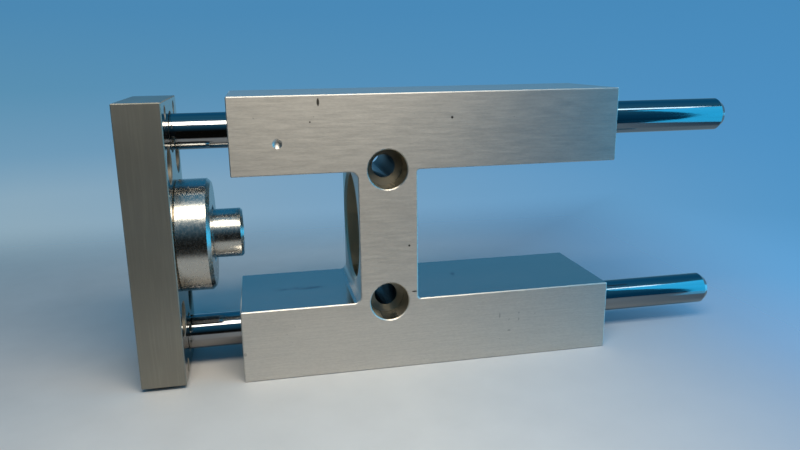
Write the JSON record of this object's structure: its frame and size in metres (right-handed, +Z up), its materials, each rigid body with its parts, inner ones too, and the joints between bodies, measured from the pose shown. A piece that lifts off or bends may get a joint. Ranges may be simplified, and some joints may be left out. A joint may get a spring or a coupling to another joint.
{
  "type": "pneumatic cylinder guide unit",
  "caption": "Guide unit for a round pneumatic cylinder: H-shaped aluminium block, parallel hardened rods in ball bearings, sliding yoke plate with floating rod coupling.",
  "frame": {"origin": "centre of the cylinder neck thread, on the rear face of the guide block's web", "axes": "+X along the guide rods, from the yoke plate towards their free ends; +Y across the block, away from the counterbored side; +Z up, from the lower bar to the upper bar"},
  "size_m": [0.181, 0.034, 0.079],
  "materials": {
    "block_aluminium": "natural anodised over a fine milled grain",
    "plate_aluminium": "natural anodised, milled faces with an upright grain",
    "rod_steel": "hardened, ground and polished",
    "plated_steel": "bright zinc plated, turned",
    "bearing_steel": "hardened and ground",
    "ball_steel": "polished",
    "cage_plastic": "moulded",
    "wiper_rubber": "moulded",
    "screw_steel": "black oxide"
  },
  "bodies": {
    "block": {"guide_block": "block_aluminium", "upper_front_bearing_shell": "bearing_steel", "upper_front_bearing_cage": "cage_plastic", "upper_front_bearing_balls": "ball_steel", "upper_rear_bearing_shell": "bearing_steel", "upper_rear_bearing_cage": "cage_plastic", "upper_rear_bearing_balls": "ball_steel", "lower_front_bearing_shell": "bearing_steel", "lower_front_bearing_cage": "cage_plastic", "lower_front_bearing_balls": "ball_steel", "lower_rear_bearing_shell": "bearing_steel", "lower_rear_bearing_cage": "cage_plastic", "lower_rear_bearing_balls": "ball_steel", "upper_front_wiper": "wiper_rubber", "upper_rear_wiper": "wiper_rubber", "lower_front_wiper": "wiper_rubber", "lower_rear_wiper": "wiper_rubber"},
    "yoke": {"yoke_plate": "plate_aluminium", "upper_guide_rod": "rod_steel", "lower_guide_rod": "rod_steel", "rod_screws": "screw_steel", "coupling_housing": "plated_steel", "coupling_screws": "screw_steel"},
    "side_float": {"front_thrust_washer": "bearing_steel"},
    "height_float": {"rear_thrust_washer": "bearing_steel"},
    "stub": {"coupling_stub": "plated_steel"}
  },
  "joints": [
    {"name": "yoke_slide", "type": "slide", "parent": "block", "child": "yoke", "axis": [-1, 0, 0], "range_m": [-0.0141, 0.0259]},
    {"name": "coupling_float_y", "type": "slide", "parent": "yoke", "child": "side_float", "axis": [0, 1, 0], "range_m": [-0.0005, 0.0005]},
    {"name": "coupling_float_z", "type": "slide", "parent": "side_float", "child": "height_float", "axis": [0, 0, 1], "range_m": [-0.0005, 0.0005]},
    {"name": "coupling_swivel", "type": "hinge", "parent": "height_float", "child": "stub", "pos_m": [-0.0566, 0, 0], "axis": [1, 0, 0], "continuous": true}
  ]
}
